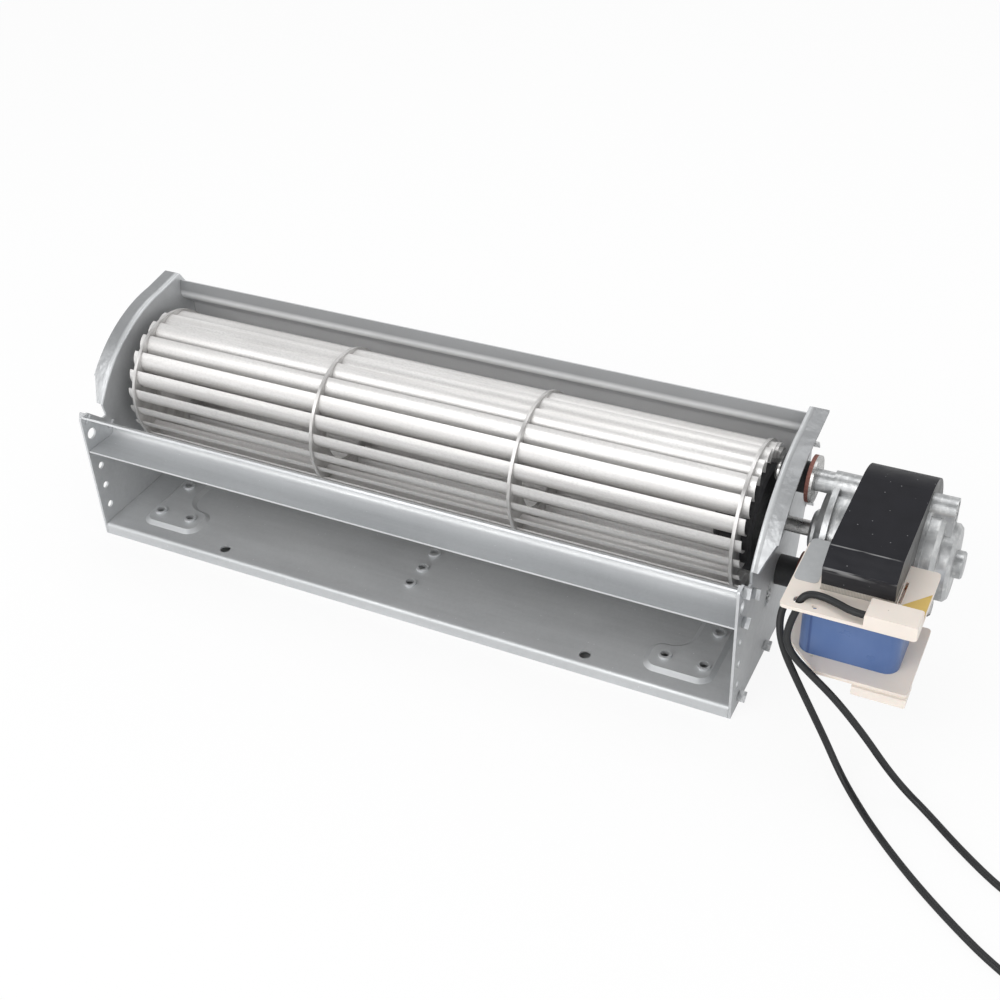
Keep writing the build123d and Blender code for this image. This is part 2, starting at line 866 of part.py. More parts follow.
def front_bracket():
    """The die cast front bracket: a cup with a rim, a bearing nose and two long posts."""
    x0 = front_nose_x
    rim_x1 = stack_x0 - cup_skirt
    rim_x0 = rim_x1 - cup_rim_t
    inner_r = cup_r - cup_wall
    bush_end = front_bush_x + motor_bush_l + bush_seat_out
    body = turned(
        [
            (x0, motor_bush_r),
            (x0, nose_r - nose_edge),
            (x0 + nose_edge, nose_r),
            (x0 + nose_l, nose_r),
            (rim_x0 - nose_shoulder_l, nose_shoulder_r),
            (rim_x0, nose_cone_r),
            (rim_x0, cup_rim_r),
            (rim_x1, cup_rim_r),
            (rim_x1, cup_r),
            (stack_x0, cup_r),
            (stack_x0, inner_r),
            (rim_x1, inner_r),
            (x0 + nose_l + nose_wall, nose_r),
            (bush_end, nose_r),
            (bush_end, motor_bush_r),
        ]
    )
    cavity = rod(rim_x1, stack_x0, bore_r + coil_end_gap)
    for y, z in mounts():
        body += rod(post_x0 + post_nose_l, stack_x0, post_r, y, z)
        body += rod(post_x0, post_x0 + post_nose_l, post_nose_r, y, z)
        body -= rod(post_x0, stack_x0, screw_r + screw_gap, y, z)
    return body - cavity


def bolt_seats():
    """Where the heads of the two long screws rest: sunk in the upper post, on the lower ear."""
    seats = (stack_x1 + rear_skirt + bridge_t - bolt_recess, stack_x1 + ear_t)
    return [(y, z, x) for (y, z), x in zip(mounts(), seats)]


def rear_bracket():
    """The die cast rear bracket: a shallow cup, a bridge from its post to the bearing hub, an ear."""
    x0 = stack_x1
    wall_x = x0 + rear_skirt
    inner_r = cup_r - cup_wall
    hub_end = x0 + rear_hub_out
    boss_end = x0 + end_boss_out
    bush_end = rear_bush_x + motor_bush_l
    pocket_end = motor_shaft_end + end_pocket
    body = turned(
        [
            (x0, inner_r),
            (x0, rear_rim_r),
            (x0 + rear_rim_t, rear_rim_r),
            (x0 + rear_rim_t, cup_r),
            (wall_x, cup_r),
            (wall_x + rear_edge, cup_r - rear_edge),
            (wall_x + rear_edge, rear_hub_r),
            (hub_end - rear_hub_edge, rear_hub_r),
            (hub_end, rear_hub_r - rear_hub_edge),
            (hub_end, end_boss_r),
            (boss_end - end_boss_edge, end_boss_r),
            (boss_end, end_boss_r - end_boss_edge),
            (boss_end, 0),
            (pocket_end, 0),
            (pocket_end, shaft_r + hub_seat_gap + bush_seat_out),
            (bush_end, shaft_r + hub_seat_gap + bush_seat_out),
            (bush_end, motor_bush_r),
            (wall_x - rear_wall_t, motor_bush_r),
            (wall_x - rear_wall_t, nose_r),
            (wall_x - rear_wall_t + hub_edge, inner_r),
        ]
    )
    length = sqrt(mount_dy**2 + mount_dz**2)
    lean = -atan_deg(mount_dy, mount_dz)
    bar = Pos(wall_x + bridge_t / 2, rotor_y, rotor_z) * Rot(lean, 0, 0) * Pos(0, 0, length / 2)
    body += bar * Box(bridge_t, bridge_w, length) - rod(x0, hub_end, bridge_start_r)
    (upper_y, upper_z), (ear_y, ear_z) = mounts()
    body += rod(x0, wall_x + bridge_t, post_r, upper_y, upper_z)
    body += rod(x0, x0 + ear_t, ear_r, ear_y, ear_z)
    body -= rod(x0, wall_x - rear_wall_t, bore_r + coil_end_gap)
    for y, z, seat in bolt_seats():
        body -= rod(x0, seat, screw_r + screw_gap, y, z)
        body -= rod(seat, wall_x + bridge_t, screw_head_r + bolt_recess_gap, y, z)
    return body


def atan_deg(opposite, adjacent):
    return Vector(adjacent, 0).get_angle(Vector(adjacent, opposite)) * (1 if opposite >= 0 else -1)


def through_bolts():
    end = post_x0 + mount_screw_grip + bolt_end_gap
    return [pan_screw(seat, -1, seat - end, y, z) for y, z, seat in bolt_seats()]


def mount_screws():
    head_x = plate_in - rubber_foot_inner_t
    length = post_x0 + mount_screw_grip - head_x
    return [pan_screw(head_x, 1, length, y, z) for y, z in mounts()]


def motor_shaft():
    shaft = rod(rotor_half - rubber_drum_l - shaft_in, motor_shaft_end, shaft_r)
    ends = shaft.edges().group_by(Axis.X)
    return chamfer(ends[0] + ends[-1], shaft_chamfer)


def shaft_clips():
    """Thrust washers on the shaft beside the two motor bushes."""
    front = front_bush_x + motor_bush_l + bush_seat_out + clip_gap
    rear = rear_bush_x - clip_gap - clip_t
    bore = shaft_r + hub_seat_gap
    return [washer(x, clip_t, clip_r, bore, rotor_y, rotor_z) for x in (front, rear)]


def leg_window(grow, z0, z1):
    y0 = rotor_y - arm_face_y
    return box(stack_x0 - grow, stack_x1 + grow, y0 - grow, y0 + leg_depth + grow, z0, z1)


def rounded_block(x0, x1, y0, y1, z0, z1, r):
    face = Pos((x0 + x1) / 2, (y0 + y1) / 2) * RectangleRounded(x1 - x0, y1 - y0, r)
    return extrude(Pos(0, 0, z0) * face, amount=z1 - z0)


def bobbin():
    """The moulded former: a tube round the core's leg and a wide flange at each end."""
    x0, x1 = stack_mid - bobbin_w / 2, stack_mid + bobbin_w / 2
    y0, y1 = rotor_y - bobbin_front, rotor_y - bobbin_back
    top = rounded_block(x0, x1, y0, y1, flange_top_z - bobbin_t, flange_top_z, bobbin_corner_r)
    low = rounded_block(x0, x1, y0, y1, flange_under_z, flange_under_z + bobbin_t, bobbin_corner_r)
    cut = make_face(Polyline((x0, y0), (x0 + corner_cut_x, y0), (x0, y0 + corner_cut_y), close=True))
    low -= extrude(Pos(0, 0, flange_under_z) * cut, amount=bobbin_t)
    tube = leg_window(bobbin_clear + tube_wall, flange_under_z, flange_top_z)
    body = top + low + tube
    body -= leg_window(bobbin_clear, flange_under_z - cut_over, flange_top_z + cut_over)
    cut_l = 2 * (bobbin_t + cut_over)
    holes = [(-lead_hole_x, lead_hole_y, lead_hole_r), (-peep_hole_x, peep_hole_y, peep_hole_r)]
    for x, y, r in holes:
        body -= Pos(stack_mid + x, rotor_y - y, flange_top_z) * Cylinder(r, cut_l)
    peep_y = rotor_y - peep_hole_y + lower_peep_in
    body -= Pos(stack_mid - peep_hole_x, peep_y, flange_under_z) * Cylinder(lower_peep_r, cut_l)
    slit = Pos(stack_mid + slit_x, rotor_y - slit_y + slit_l / 2, flange_top_z)
    return body - slit * Box(slit_w, slit_l, cut_l)


def coil_block(shrink, z_shrink=0.0):
    x0, x1 = stack_mid - coil_w / 2 + shrink, stack_mid + coil_w / 2 - shrink
    y0, y1 = rotor_y - coil_front + shrink, rotor_y - coil_back - shrink
    z0, z1 = flange_under_z + bobbin_t + z_shrink, flange_top_z - bobbin_t - z_shrink
    return rounded_block(x0, x1, y0, y1, z0, z1, coil_corner_r - shrink)


def coil_tape():
    return coil_block(0) - coil_block(coil_tape_t, -cut_over)


def coil_winding():
    hollow = leg_window(bobbin_clear + tube_wall, flange_under_z, flange_top_z)
    return coil_block(coil_tape_t) - hollow


def terminal_covers():
    """The closed blocks on the flanges, where the leads join the winding."""
    x1 = stack_mid + bobbin_w / 2
    x0 = x1 - cover_w
    y0 = rotor_y - cover_front
    y1 = y0 + cover_depth
    upper = box(x0, x1, y0, y1, flange_top_z, flange_top_z + cover_h)
    upper = fillet(upper.edges().filter_by(Axis.Y).group_by(Axis.Z)[-1], cover_r)
    lower = box(x0 - lower_cover_more, x1, y0, y1, flange_under_z - lower_cover_h, flange_under_z)
    lower = fillet(lower.edges().filter_by(Axis.Y).group_by(Axis.Z)[0], cover_r)
    return [upper, lower]


def rating_label():
    """A bare foil on the bobbin's upper flange, between its left edge and the core."""
    x0 = stack_mid - bobbin_w / 2 + label_margin
    x1 = stack_x0 - bobbin_clear - tube_wall - label_margin
    y0 = rotor_y - label_front
    return rounded_block(x0, x1, y0, y0 + label_l, flange_top_z, flange_top_z + paper_t, label_corner_r)


def yellow_tape():
    x1 = stack_mid + bobbin_w / 2 - yellow_margin
    x0 = x1 - yellow_w
    y0 = rotor_y - cover_front + cover_depth + yellow_gap
    corner = [(x0, y0 + yellow_low_l), (x0, y0), (x1, y0), (x1, y0 + yellow_l)]
    face = make_face(Polyline(*corner, close=True))
    return extrude(Pos(0, 0, flange_top_z) * face, amount=paper_t)


def lead_a_route():
    """From the upper terminal cover, over the flange, through its hole and down to the table."""
    x, y, z = stack_mid, rotor_y, flange_top_z
    table = stand_z + lead_d / 2
    return [
        (x + bobbin_w / 2 - cover_w, y - 60.9, z + 2.5),
        (x + 1.0, y - 60.9, z + 2.5),
        (x - 4.6, y - 58.3, z + 2.2),
        (x - 10.6, y - 56.4, z + 2.0),
        (x - 15.0, y - 57.2, z + 2.1),
        (x - 17.2, y - 58.7, z),
        (x - 17.7, y - 59.3, z - 4.0),
        (x - 19.2, y - 60.9, z - 9.4),
        (x - 19.6, y - 63.0, z - 15.0),
        (x - 16.2, y - 65.0, z - 19.6),
        (x - 9.4, y - 66.2, z - 24.4),
        (x + 0.6, y - 66.4, z - 32.8),
        (x + 11.2, y - 66.2, z - 45.0),
        (x + 20.6, y - 66.2, z - 57.4),
        (x + 28.4, y - 66.4, z - 65.6),
        (x + 36.6, y - 69.8, table),
        (x + 50.4, y - 81.6, table),
        (x + 65.4, y - 92.6, table),
        (x + 78.6, y - 98.8, table),
        (x + 88.8, y - 100.8, table),
    ]


def lead_b_route():
    """From the left face of the coil, behind the first lead, down to the table."""
    x, y, z = stack_mid, rotor_y, flange_top_z
    table = stand_z + lead_d / 2
    return [
        (x - coil_w / 2, y - 50.0, z - 5.0),
        (x - 21.0, y - 50.5, z - 5.8),
        (x - 23.8, y - 52.2, z - 9.0),
        (x - 24.2, y - 55.0, z - 13.4),
        (x - 22.8, y - 58.4, z - 18.2),
        (x - 19.6, y - 60.8, z - 24.0),
        (x - 14.6, y - 61.8, z - 33.0),
        (x - 8.0, y - 62.0, z - 45.6),
        (x - 1.6, y - 62.4, z - 57.6),
        (x + 4.2, y - 65.6, z - 65.4),
        (x + 10.6, y - 71.6, table),
        (x + 22.0, y - 84.8, table),
        (x + 38.6, y - 100.6, table),
        (x + 56.0, y - 114.4, table),
        (x + 70.4, y - 124.2, table),
        (x + 81.4, y - 129.6, table),
    ]


def corner_radii(points):
    """Each corner's largest arc that leaves a tenth of the shorter run straight."""
    spots = [Vector(*p) for p in points]
    radii = []
    for a, b, c in zip(spots, spots[1:], spots[2:]):
        turn = radians((b - a).get_angle(c - b))
        radii.append(0.45 * min((b - a).length, (c - b).length) / tan(turn / 2))
    return radii


def lead(name, points):
    radii = corner_radii(points)
    path = FilletPolyline(*points, radius=radii)
    section = Plane(origin=path @ 0, z_dir=path % 0) * Circle(lead_d / 2)
    tube = sweep(section, path=path)
    wanted = pi * lead_d**2 / 4 * path.length
    print(name, "length", round(path.length, 1))
    print(name, "volume over section x length", round(tube.volume / wanted, 4))
    print(name, "radii", [round(r, 1) for r in radii])
    return tube, path


def lead_tip(path):
    """The stripped end of a lead."""
    end = Plane(origin=path @ 1, z_dir=path % 1)
    return extrude(end * Circle(lead_tip_d / 2), amount=lead_tip_l)


def save(name, shapes):
    solids = shapes if isinstance(shapes, list) else [shapes]
    group = Compound(children=[s for shape in solids for s in shape.solids()])
    export_step(group, f"parts/{name}.step")


def main():
    os.makedirs("parts", exist_ok=True)
    save("scroll_wall", scroll_wall())
    save("tongue_plate", tongue_plate())
    save("left_end_plate", end_plate(-1))
    save("right_end_plate", end_plate(1))
    save("blades", blades())
    for name, index, bore in (
        ("end_disc_left", 0, left_hub_r),
        ("mid_disc_left", 1, mid_disc_bore_r),
        ("mid_disc_right", 2, mid_disc_bore_r),
        ("end_disc_right", 3, rubber_neck_r),
    ):
        save(name, disc(-rotor_half + index * section_length, bore))
    save("left_hub", left_hub())
    save("stub_shaft", stub_shaft())
    save("bearing_grommet", bearing_grommet())
    save("bearing_bush", sintered_bush(-half - bush_out, bush_length, bush_r))
    save("rubber_hub", rubber_hub())
    save("hub_sleeve", hub_sleeve())
    save("set_screw", set_screw())
    save("motor_shaft", motor_shaft())
    save("motor_rotor", motor_rotor())
    save("shaft_clips", shaft_clips())
    save("rubber_feet", [rubber_foot(y, z) for y, z in mounts()])
    fibre_x = half + rubber_foot_l
    bore = screw_r + screw_gap
    save("fibre_washers", [washer(fibre_x, fibre_washer_t, mount_washer_r, bore, y, z) for y, z in mounts()])
    steel_x = fibre_x + fibre_washer_t
    save("steel_washers", [washer(steel_x, steel_washer_t, mount_washer_r, bore, y, z) for y, z in mounts()])
    save("mount_screws", mount_screws())
    earth_x = half + earth_washer_t
    y, z = earth_screw_y, earth_screw_z
    save("earth_washer", washer(half, earth_washer_t, earth_washer_r, earth_hole_r, y, z))
    save("earth_screw", pan_screw(earth_x, -1, earth_screw_l, y, z, earth_hole_r - hub_seat_gap))
    save("stator_stack", stack())
    save("coil_core", coil_core())
    save("shading_rings", shading_rings())
    save("front_bracket", front_bracket())
    save("rear_bracket", rear_bracket())
    bush_fit = motor_bush_r - hub_seat_gap
    save("front_bush", sintered_bush(front_bush_x, motor_bush_l, bush_fit))
    save("rear_bush", sintered_bush(rear_bush_x, motor_bush_l, bush_fit))
    save("through_bolts", through_bolts())
    save("bobbin", bobbin())
    save("coil_winding", coil_winding())
    save("coil_tape", coil_tape())
    save("terminal_covers", terminal_covers())
    save("rating_label", rating_label())
    save("yellow_tape", yellow_tape())
    for name, route in (("lead_a", lead_a_route()), ("lead_b", lead_b_route())):
        tube, path = lead(name, route)
        save(name, tube)
        save(name + "_tip", lead_tip(path))


main()
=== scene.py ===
from math import cos, pi, sin, tan
import json

import bmesh
import bpy
from mathutils import Matrix, Vector

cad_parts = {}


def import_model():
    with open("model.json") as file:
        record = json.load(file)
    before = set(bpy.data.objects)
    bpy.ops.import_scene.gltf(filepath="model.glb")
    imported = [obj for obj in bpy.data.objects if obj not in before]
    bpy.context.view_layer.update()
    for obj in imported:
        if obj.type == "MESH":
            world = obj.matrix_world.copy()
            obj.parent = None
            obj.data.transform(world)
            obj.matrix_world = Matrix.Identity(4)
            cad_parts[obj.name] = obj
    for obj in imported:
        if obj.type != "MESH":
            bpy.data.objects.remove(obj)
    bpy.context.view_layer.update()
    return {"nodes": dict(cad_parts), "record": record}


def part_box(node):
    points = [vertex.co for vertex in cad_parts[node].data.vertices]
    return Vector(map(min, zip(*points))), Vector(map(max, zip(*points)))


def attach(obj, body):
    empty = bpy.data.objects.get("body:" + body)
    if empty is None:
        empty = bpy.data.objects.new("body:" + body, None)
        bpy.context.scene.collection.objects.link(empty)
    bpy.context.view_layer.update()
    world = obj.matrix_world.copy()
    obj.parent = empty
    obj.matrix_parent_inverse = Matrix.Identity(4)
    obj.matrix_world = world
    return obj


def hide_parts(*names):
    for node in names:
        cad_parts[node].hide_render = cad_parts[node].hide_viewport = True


MM = 0.001

# Camera, solved from the photograph's perspective, in the part's frame
CAMERA_PLACE = Vector((251.70, -385.07, 382.40)) * MM
CAMERA_RIGHT = Vector((0.89838, 0.43753, -0.03842))
CAMERA_LOOK = Vector((-0.37404, 0.71629, -0.58909))
CAMERA_LENS = 52.01
SENSOR = 36.0
NEAREST = 10.0 * MM
FARTHEST = 50.0

# Table and world
TABLE_Z = -4.6 * MM
TABLE_SIZE = 30.0
TABLE_TONE = (0.86, 0.86, 0.86)
TABLE_ROUGH = 0.9
TABLE_GLOW = 0.9  # share of plain white in the table that the camera sees
OUTLET_DEPTH = 46.0 * MM  # of the table under the housing that keeps its own light
OUTLET_MARGIN = 4.0 * MM  # from that stretch to the tongue's ends
WORLD_LIGHT = 1.14
CEILING = (0.26, 0.265, 0.27)
WHITE = (1.0, 1.0, 1.0)
HORIZON_END = 0.3  # heights in the world where the white ends and the ceiling begins
CEILING_START = 0.95

# Leads
LEAD_D = 2.6 * MM
LEAD_Z = TABLE_Z + LEAD_D / 2

# The folded top of the back wall: its inner face from the end of the flat wall to its edge
FOLD_POINTS = [Vector(p) * MM for p in ((80.0, 68.4), (80.0, 69.6), (71.7, 76.3), (73.0, 83.9))]
FOLD_RADII = [2.4 * MM, 3.6 * MM]
FOLD_STEPS = 8
SHEET_T = 0.8 * MM
WELD = 0.002 * MM
CUT_TOLERANCE = 0.0001 * MM
SHARP_ANGLE = pi / 7

# Marks on the sheets, most of them painted highlights and shade: the two places between which each one
# comes up or dies away
FLANGE_X = (146.2 * MM, 147.5 * MM)
FLANGE_SHADE_Z = (52.0 * MM, 78.0 * MM)
FLANGE_HIGHLIGHT_Z = (40.0 * MM, 70.0 * MM)
TONGUE_HIGHLIGHT_Y = (3.0 * MM, 14.0 * MM)
WALL_FRONT_Y = (74.2 * MM, 75.2 * MM)
WALL_BEND_Z = (74.2 * MM, 75.6 * MM)
WALL_UPRIGHT_Z = (77.8 * MM, 79.6 * MM)
WALL_INSIDE_Y = (68.0 * MM, 78.0 * MM)
WALL_INSIDE_Z = (73.5 * MM, 74.5 * MM)
TAB_X = (146.2 * MM, 147.0 * MM)
LUG_X = (145.5 * MM, 146.2 * MM)
LUG_MIDDLE = {"Y": 33.0 * MM, "Z": 27.0 * MM}
LUG_REACH = {"Y": (1.56 * MM, 2.6 * MM), "Z": (3.0 * MM, 5.0 * MM)}
FRONTWARDS = (-0.3, 0.1)  # the normal's Y from a front face to a back one

# Marks on the motor
STACK_CHAMFER = 8.0 * MM  # from the core's front edge to its upper bend
# painted highlights along the core's two bends, and a painted sheen on its front faces
BEND_HIGHLIGHT_WIDTH = (0.1 * MM, 0.35 * MM)
CORE_FRONT = (-0.6, -0.3)
CORE_END = (0.5, 0.7)
TAPE_FOLD = 4.2 * MM  # from the tape's left side
TAPE_FOLD_WIDTH = (0.2 * MM, 0.7 * MM)
SHEETS_SCALE = 630  # of the bands that show the core's sheets

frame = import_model()
nodes = frame["nodes"]


def add_object(name, data):
    piece = bpy.data.objects.new(name, data)
    bpy.context.scene.collection.objects.link(piece)
    return piece


def dress(piece, material):
    piece.data.materials.clear()
    piece.data.materials.append(material)


def math_node(tree, operation, first, second=0.0):
    """A sum on two values, each a number or another node's output."""
    node = tree.nodes.new("ShaderNodeMath")
    node.operation = operation
    for socket, value in zip(node.inputs, (first, second)):
        if isinstance(value, (int, float)):
            socket.default_value = value
        else:
            tree.links.new(value, socket)
    return node.outputs["Value"]


def split_axes(tree, source):
    node = tree.nodes.new("ShaderNodeSeparateXYZ")
    tree.links.new(source, node.inputs["Vector"])
    return node.outputs


class Paint:
    """A material with one Principled shader, built up node by node."""

    def __init__(self, name, color, metallic=0.0, roughness=0.5):
        self.material = bpy.data.materials.new(name)
        self.material.use_nodes = True
        self.tree = self.material.node_tree
        self.shader = self.tree.nodes["Principled BSDF"]
        self.shader.inputs["Base Color"].default_value = (*color, 1.0)
        self.shader.inputs["Metallic"].default_value = metallic
        self.shader.inputs["Roughness"].default_value = roughness
        self.place = self.tree.nodes.new("ShaderNodeTexCoord").outputs["Object"]
        self.height = None

    def set(self, socket, value):
        self.shader.inputs[socket].default_value = value
        return self

    def noise(self, scale, detail=3.0, stretch=(1.0, 1.0, 1.0), roughness=0.5):
        mapping = self.tree.nodes.new("ShaderNodeMapping")
        mapping.inputs["Scale"].default_value = stretch
        self.tree.links.new(self.place, mapping.inputs["Vector"])
        node = self.tree.nodes.new("ShaderNodeTexNoise")
        node.inputs["Scale"].default_value = scale
        node.inputs["Detail"].default_value = detail
        node.inputs["Roughness"].default_value = roughness
        self.tree.links.new(mapping.outputs["Vector"], node.inputs["Vector"])
        return node.outputs["Fac"]

    def cells(self, scale):
        node = self.tree.nodes.new("ShaderNodeTexVoronoi")
        node.inputs["Scale"].default_value = scale
        self.tree.links.new(self.place, node.inputs["Vector"])
        return node.outputs

    def specks(self, scale, share, size):
        """Small round dots: 1 in a dot and 0 elsewhere, in a share of the cells."""
        cells = self.cells(scale)
        dot = self.fade(cells["Distance"], (0.6 * size, size))
        lot = split_axes(self.tree, cells["Color"])["X"]
        return self.both(dot, self.rise(lot, (1 - share, 1.01 - share)))

    def bands(self, scale, direction, distortion=0.0):
        node = self.tree.nodes.new("ShaderNodeTexWave")
        node.wave_type = "BANDS"
        node.bands_direction = direction
        node.inputs["Scale"].default_value = scale
        node.inputs["Distortion"].default_value = distortion
        self.tree.links.new(self.place, node.inputs["Vector"])
        return node.outputs["Fac"]

    def axis(self, name):
        return split_axes(self.tree, self.place)[name]

    def apart(self, name, place=0.0):
        """How far a point is from a place along an axis, either way."""
        return self.math("ABSOLUTE", self.math("SUBTRACT", self.axis(name), place))

    def normal(self, name):
        geometry = self.tree.nodes.new("ShaderNodeNewGeometry")
        return split_axes(self.tree, geometry.outputs["Normal"])[name]

    def math(self, operation, first, second=0.0):
        return math_node(self.tree, operation, first, second)

    def both(self, first, second):
        return self.math("MULTIPLY", first, second)

    def between(self, source, low, high, start=0.3, end=0.7):
        node = self.tree.nodes.new("ShaderNodeMapRange")
        node.inputs["From Min"].default_value = start
        node.inputs["From Max"].default_value = end
        node.inputs["To Min"].default_value = low
        node.inputs["To Max"].default_value = high
        self.tree.links.new(source, node.inputs["Value"])
        return node.outputs["Result"]

    def rise(self, source, span=(0.3, 0.7), full=1.0):
        """Nothing before the span, growing through it, and full after it."""
        return self.between(source, 0.0, full, *span)

    def fade(self, source, span=(0.3, 0.7), full=1.0):
        """Full before the span, shrinking through it, and nothing after it."""
        return self.between(source, full, 0.0, *span)

    def mixed(self, factor, first, second):
        node = self.tree.nodes.new("ShaderNodeMix")
        node.data_type = "RGBA"
        self.tree.links.new(factor, node.inputs["Factor"])
        for socket, color in ((node.inputs[6], first), (node.inputs[7], second)):
            if isinstance(color, tuple):
                socket.default_value = (*color, 1.0)
            else:
                self.tree.links.new(color, socket)
        return node.outputs[2]

    def shades(self, source, first, second):
        """From one colour to the other through the middle of a noise."""
        return self.mixed(self.rise(source), first, second)

    def color(self, source):
        self.tree.links.new(source, self.shader.inputs["Base Color"])
        return self

    def rough(self, source, low, high):
        value = self.between(source, low, high)
        self.tree.links.new(value, self.shader.inputs["Roughness"])
        return self

    def bump(self, source, strength, distance):
        node = self.tree.nodes.new("ShaderNodeBump")
        node.inputs["Strength"].default_value = strength
        node.inputs["Distance"].default_value = distance
        self.tree.links.new(source, node.inputs["Height"])
        if self.height is not None:
            self.tree.links.new(self.height, node.inputs["Normal"])
        self.height = node.outputs["Normal"]
        self.tree.links.new(self.height, self.shader.inputs["Normal"])
        return self


def zinc_sheet(name):
    """Zinc coated sheet, as a paint and its tone.

    It has soft clouds, a fine spangle and small bright specks. Out on the flanges and tabs it has
    dents and pits; the flanges have painted shade at their tops and a mottled painted highlight low down.
    """
    paint = Paint(name, (0.52, 0.53, 0.54), 0.52, 0.42)
    clouds = paint.noise(34, 4, (0.45, 1, 1))
    rolled = paint.noise(420, 4, (0.05, 1, 1))
    tone = paint.shades(clouds, (0.5, 0.512, 0.522), (0.585, 0.597, 0.605))
    tone = paint.mixed(paint.rise(rolled, full=0.35), tone, (0.64, 0.65, 0.66))
    spangle = paint.rise(paint.cells(900)["Color"], (0, 1), 0.16)
    tone = paint.mixed(spangle, tone, (0.72, 0.735, 0.75))
    tone = paint.mixed(paint.specks(420, 0.12, 0.12), tone, (0.8, 0.81, 0.82))
    paint.rough(paint.noise(240, 5, (0.12, 1, 1)), 0.36, 0.52)
    paint.bump(paint.noise(70, 3), 0.12, 0.6 * MM)
    paint.bump(paint.noise(2300, 4, (0.4, 1, 1)), 0.16, 0.06 * MM)
    flange = paint.rise(paint.apart("X"), FLANGE_X)
    # painted shade: the flanges are drawn darker towards their tops
    flange_top_shade = paint.both(paint.rise(paint.axis("Z"), FLANGE_SHADE_Z, 0.85), flange)
    tone = paint.mixed(flange_top_shade, tone, (0.27, 0.275, 0.282))
    # painted highlight, mottled: the flanges are drawn lighter low down
    low_down = paint.both(paint.fade(paint.axis("Z"), FLANGE_HIGHLIGHT_Z), flange)
    flange_low_highlight = paint.rise(paint.noise(150, 5), (0.45, 0.65), 0.4)
    tone = paint.mixed(paint.both(flange_low_highlight, low_down), tone, (0.8, 0.81, 0.82))
    dents = paint.both(paint.noise(95, 3, (1.4, 1, 1)), flange)
    paint.bump(dents, 0.5, 2.2 * MM)
    pits = paint.both(paint.noise(420, 2), flange)
    paint.bump(pits, 0.35, 0.7 * MM)
    return paint, tone


def galvanised_steel():
    """The sheet of the end plates, with the lanced lugs crumpled and painted highlights and shade on
    them.
    """
    paint, tone = zinc_sheet("galvanised_steel")
    lug = paint.rise(paint.apart("X"), LUG_X)
    for name, middle in LUG_MIDDLE.items():
        lug = paint.both(lug, paint.fade(paint.apart(name, middle), LUG_REACH[name]))
    crumple = paint.noise(900, 3)
    # painted highlights and shade of the crumpled lugs, mixed over the sheet's tone
    crumple_light_and_shade = paint.mixed(paint.rise(crumple, (0.42, 0.58)), (0.16, 0.165, 0.17), (0.9, 0.905, 0.91))
    paint.bump(paint.both(crumple, lug), 0.8, 1.2 * MM)
    return paint.color(paint.mixed(lug, tone, crumple_light_and_shade)).material


def tongue_steel():
    """The same sheet, with a painted highlight from its front edge in towards the tongue's nose."""
    paint, tone = zinc_sheet("tongue_steel")
    # painted highlight towards the tongue's nose
    tongue_highlight = paint.rise(paint.axis("Y"), TONGUE_HIGHLIGHT_Y, 0.6)
    return paint.color(paint.mixed(tongue_highlight, tone, (0.86, 0.865, 0.87))).material


def folded_steel():
    """The same sheet for the scroll.

    It has a painted highlight along the bend of the wall's top, painted light on the inside under that
    bend and painted glints in patches on the tab ends, and painted shade on the upright edge above the
    bend.
    """
    paint, tone = zinc_sheet("folded_steel")
    height = paint.axis("Z")
    front_face = paint.fade(paint.normal("Y"), FRONTWARDS)
    front = paint.both(paint.fade(paint.axis("Y"), WALL_FRONT_Y), front_face)
    # painted highlight along the bend of the wall's top
    bend = paint.both(front, paint.rise(height, WALL_BEND_Z, 0.9))
    tone = paint.mixed(bend, tone, (0.94, 0.945, 0.95))
    # painted shade on the upright edge above the bend
    upright = paint.both(front, paint.rise(height, WALL_UPRIGHT_Z, 0.85))
    tone = paint.mixed(upright, tone, (0.24, 0.245, 0.252))
    # painted light on the inside of the wall under the bend
    inside = paint.both(paint.rise(paint.axis("Y"), WALL_INSIDE_Y, 0.8), front_face)
    inside = paint.both(inside, paint.fade(height, WALL_INSIDE_Z))
    tone = paint.mixed(inside, tone, (0.86, 0.86, 0.865))
    # painted glints in patches on the tab ends
    tab = paint.rise(paint.apart("X"), TAB_X)
    bright = paint.both(tab, paint.rise(paint.noise(520, 3), (0.42, 0.6), 0.9))
    return paint.color(paint.mixed(bright, tone, (0.92, 0.925, 0.93))).material


def disc_aluminium():
    """The stamped discs between the blades, duller than the blades' strip and lightly brushed."""
    paint = Paint("disc_aluminium", (0.6, 0.59, 0.58), 0.62, 0.36)
    brushed = paint.noise(900, 4, (1, 0.2, 0.2))
    paint.color(paint.shades(brushed, (0.48, 0.47, 0.46), (0.7, 0.69, 0.68)))
    paint.rough(paint.noise(260, 4), 0.3, 0.46)
    paint.bump(paint.noise(700, 3), 0.15, 0.1 * MM)
    return paint.material


